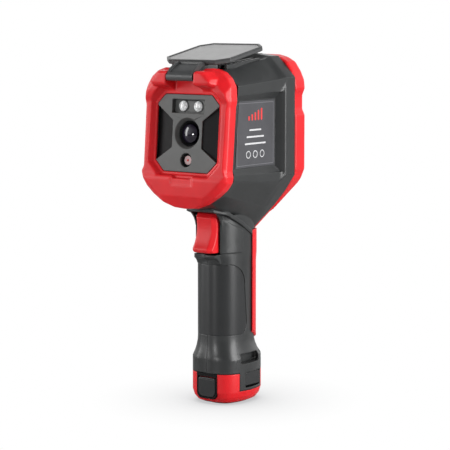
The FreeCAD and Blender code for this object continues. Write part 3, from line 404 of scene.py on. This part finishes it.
def arc(x, y, outer, inner, start, end, steps=20):
    """Band of a circle between two angles in degrees."""
    angles = [math.radians(start + (end - start) * i / steps) for i in range(steps + 1)]
    far = [(x + outer * math.cos(a), y + outer * math.sin(a)) for a in angles]
    near = [(x + inner * math.cos(a), y + inner * math.sin(a)) for a in reversed(angles)]
    return far + near


def arrow(x, y, size, angle):
    """Triangle that points along the angle, in degrees."""
    corners = [math.radians(angle + turn) for turn in (0, 130, 230)]
    return [(x + size * math.cos(a), y + size * math.sin(a)) for a in corners]


def border(width, height, line):
    """Four bars round a rectangle."""
    return [bar(0, height / 2, width, line), bar(0, -height / 2, width, line),
            bar(width / 2, 0, line, height), bar(-width / 2, 0, line, height)]


def label_prints():
    """Thin border on both flank panels; the right one also has bars, rules and rings."""
    for side, node in ((1, "label_right"), (-1, "label_left")):
        low, high = (Vector(corner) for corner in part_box(node))
        origin = middle(node)
        origin.x = high.x if side > 0 else low.x
        right, up = Vector((0, side, 0)), Vector((0, 0, 1))
        width = high.y - low.y - PANEL_MARGIN
        height = high.z - low.z - PANEL_MARGIN
        raised(f"{node}_border", border(width, height, BORDER_LINE), origin, right, up, PRINT_HEIGHT,
               look["rule"], BODY)
        if side < 0:
            continue
        steps = []
        for i in range(5):
            steps.append(bar((i - 2) * 3.4 * MM, (10.2 + 0.6 * i) * MM, 1.7 * MM, (3.0 + 1.2 * i) * MM))
        raised("label_level_bars", steps, origin, right, up, PRINT_HEIGHT, look["accent"], BODY)
        rules = [bar(0, y * MM, w * MM, 1.1 * MM) for y, w in ((2.6, 13.0), (-1.8, 19.0), (-6.2, 23.0))]
        rings = [arc(x * MM, -13.2 * MM, 2.5 * MM, 1.9 * MM, 0, FULL_RING) for x in (-7.5, 0.0, 7.5)]
        raised("label_rules", rules + rings, origin, right, up, PRINT_HEIGHT, look["print"], BODY)


def key_symbols():
    """Plain pictograms on the rear keys, riding on each key."""
    arrows = []
    rays = []
    for quarter in range(4):
        turn = math.pi / 2 * quarter
        across, along = math.cos(turn), math.sin(turn)
        arrows.append(arrow(CURSOR_RADIUS * across, CURSOR_RADIUS * along, 1.2 * MM, 90 * quarter))
        rays.append(bar(2.0 * MM * across, 2.0 * MM * along, SYMBOL_LINE * 1.6, SYMBOL_LINE * 1.6))
    symbols = {
        "key_ring": arrows,
        "key_ok": [arc(0, 0, 2.0 * MM, 1.5 * MM, 0, FULL_RING)],
        "key_menu": [bar(0, y * MM, 3.6 * MM, SYMBOL_LINE * 1.5) for y in (-1.2, 0.0, 1.2)],
        "key_view": border(3.6 * MM, 2.6 * MM, SYMBOL_LINE * 1.4),
        "key_lamp": [arc(0, 0, 1.1 * MM, 0.7 * MM, 0, FULL_RING)] + rays,
        "key_power": [arc(0, 0, 1.9 * MM, 1.5 * MM, 120, 420),
                      bar(0, 1.3 * MM, SYMBOL_LINE * 1.4, 1.8 * MM)],
    }
    for node, outlines in symbols.items():
        origin = middle(node)
        origin.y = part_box(node)[1][1]
        raised(f"{node}_symbol", outlines, origin, Vector((-1, 0, 0)), Vector((0, 0, 1)),
               SYMBOL_HEIGHT, look["print"], f"{node}_body")


def optic_trim():
    """Bright rims round the two lamps, a rim round the lower port, and its small emitter."""
    ahead = Vector((0, -math.cos(FACE_TILT), math.sin(FACE_TILT)))
    low, high = (Vector(corner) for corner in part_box("lamp_lenses"))
    places = []
    for x in (low.x + LAMP_RADIUS, high.x - LAMP_RADIUS):
        places.append(Vector((x, (low.y + high.y) / 2, (low.z + high.z) / 2)))
    inner, outer = LAMP_RIM
    lamp_rim = [(inner, -1.2 * MM), (outer, -1.2 * MM), (outer, 0.0), (outer - 0.3 * MM, 0.3 * MM),
                (inner, 0.1 * MM)]
    turned("lamp_rims", lamp_rim, places, ahead, look["face_plastic"], BODY)
    port = middle("port_window")
    inner, outer = PORT_RIM
    port_rim = [(inner, -0.6 * MM), (outer, -0.6 * MM), (outer, 0.2 * MM), (inner, 0.9 * MM)]
    turned("port_rim", port_rim, [port], ahead, look["black_plastic"], BODY)
    dot = [(0.0, 0.2 * MM), (EMITTER_RADIUS, 0.2 * MM), (0.7 * MM, 0.85 * MM), (0.4 * MM, 1.0 * MM),
           (0.0, 1.05 * MM)]
    turned("port_emitter", dot, [port], ahead, look["accent"], BODY, 24)


label_prints()
key_symbols()
optic_trim()


# ---------------------------------------------------------------- studio
def studio():
    """Pale floor that takes and gives light. The camera sees it as plain white with a soft shade
    round the object, and sees through it, so that a piece which moves down past it stays in view."""
    corners = [(x * FLOOR_SIZE, y * FLOOR_SIZE, 0) for x, y in ((-1, -1), (1, -1), (1, 1), (-1, 1))]
    mesh = bpy.data.meshes.new("floor")
    mesh.from_pydata(corners, [], [(0, 1, 2, 3)])
    floor = bpy.data.objects.new("floor", mesh)
    bpy.context.scene.collection.objects.link(floor)
    material, tree, shader = new_material("paper")
    shader.inputs["Roughness"].default_value = 0.9
    shader.inputs["Specular IOR Level"].default_value = 0.1
    shader.inputs["Base Color"].default_value = (0.40, 0.40, 0.40, 1.0)
    contact = tree.nodes.new("ShaderNodeAmbientOcclusion")
    contact.samples = 16
    contact.inputs["Distance"].default_value = CONTACT_REACH
    clear = tree.nodes.new("ShaderNodeBsdfTransparent")
    openness = ramp(tree, contact.outputs["AO"], 0.0, 1.0, 0.3, 1.0)
    shade = mixed(tree, openness, (0.55, 0.55, 0.56), (1.0, 1.0, 1.0))
    tree.links.new(shade, clear.inputs["Color"])
    path = tree.nodes.new("ShaderNodeLightPath")
    choice = tree.nodes.new("ShaderNodeMixShader")
    tree.links.new(path.outputs["Is Camera Ray"], choice.inputs[0])
    tree.links.new(shader.outputs[0], choice.inputs[1])
    tree.links.new(clear.outputs[0], choice.inputs[2])
    tree.links.new(choice.outputs[0], tree.nodes["Material Output"].inputs["Surface"])
    mesh.materials.append(material)


def surroundings():
    """Bright round the sides, darker overhead and from the camera's side; plain white to the camera."""
    world = bpy.data.worlds.new("studio")
    bpy.context.scene.world = world
    world.use_nodes = True
    tree = world.node_tree
    background = tree.nodes["Background"]
    place = tree.nodes.new("ShaderNodeTexCoord")
    split = tree.nodes.new("ShaderNodeSeparateXYZ")
    tree.links.new(place.outputs["Generated"], split.inputs[0])
    overhead = ramp(tree, split.outputs["Z"], 1.0, 0.07, 0.38, 0.72)
    facing = tree.nodes.new("ShaderNodeVectorMath")
    facing.operation = "DOT_PRODUCT"
    facing.inputs[1].default_value = (math.sin(CAMERA_AZIMUTH), -math.cos(CAMERA_AZIMUTH), 0.0)
    tree.links.new(place.outputs["Generated"], facing.inputs[0])
    toward = ramp(tree, facing.outputs["Value"], 1.0, 0.22, 0.25, 0.9)
    level = product(tree, overhead, toward)
    path = tree.nodes.new("ShaderNodeLightPath")
    seen = mixed(tree, level, (0.0, 0.0, 0.0), (1.25, 1.25, 1.25))
    shown = mixed(tree, path.outputs["Is Camera Ray"], seen, (1.0, 1.0, 1.0))
    tree.links.new(shown, background.inputs["Color"])
    background.inputs["Strength"].default_value = 1.0


def lamp(name, place, target, size, power, reflected=True):
    """Rectangular lamp that the camera doesn't see; reflected says whether glossy surfaces do."""
    data = bpy.data.lights.new(name, "AREA")
    data.shape = "RECTANGLE"
    data.size, data.size_y = size
    data.energy = power
    obj = bpy.data.objects.new(name, data)
    obj.location = place
    obj.rotation_euler = (Vector(target) - Vector(place)).to_track_quat("-Z", "Y").to_euler()
    obj.visible_glossy = reflected
    obj.visible_camera = False
    bpy.context.scene.collection.objects.link(obj)


def aim_camera():
    """Camera at its azimuth and pitch round the target, looking at it."""
    back = Vector((math.sin(CAMERA_AZIMUTH) * math.cos(CAMERA_PITCH),
                   -math.cos(CAMERA_AZIMUTH) * math.cos(CAMERA_PITCH), math.sin(CAMERA_PITCH)))
    data = bpy.data.cameras.new("camera")
    data.lens = CAMERA_LENS
    data.sensor_width = SENSOR_WIDTH
    camera = bpy.data.objects.new("camera", data)
    camera.location = CAMERA_TARGET + back * CAMERA_DISTANCE
    camera.rotation_euler = back.to_track_quat("Z", "Y").to_euler()
    bpy.context.scene.collection.objects.link(camera)
    bpy.context.scene.camera = camera


studio()
surroundings()
lamp("top", (0.0, 0.2, 2.6), (0.0, 0.0, 0.0), (2.4, 2.4), 30, reflected=False)
lamp("right", (1.25, 0.10, 0.35), HEART, (0.45, 1.1), 24)
lamp("left", (-1.05, -0.75, 0.30), HEART, (0.35, 1.1), 9)
lamp("front", (-0.12, -1.35, 0.2), HEART, (0.16, 0.16), 4.5)
aim_camera()
bpy.context.scene.view_settings.view_transform = "Standard"
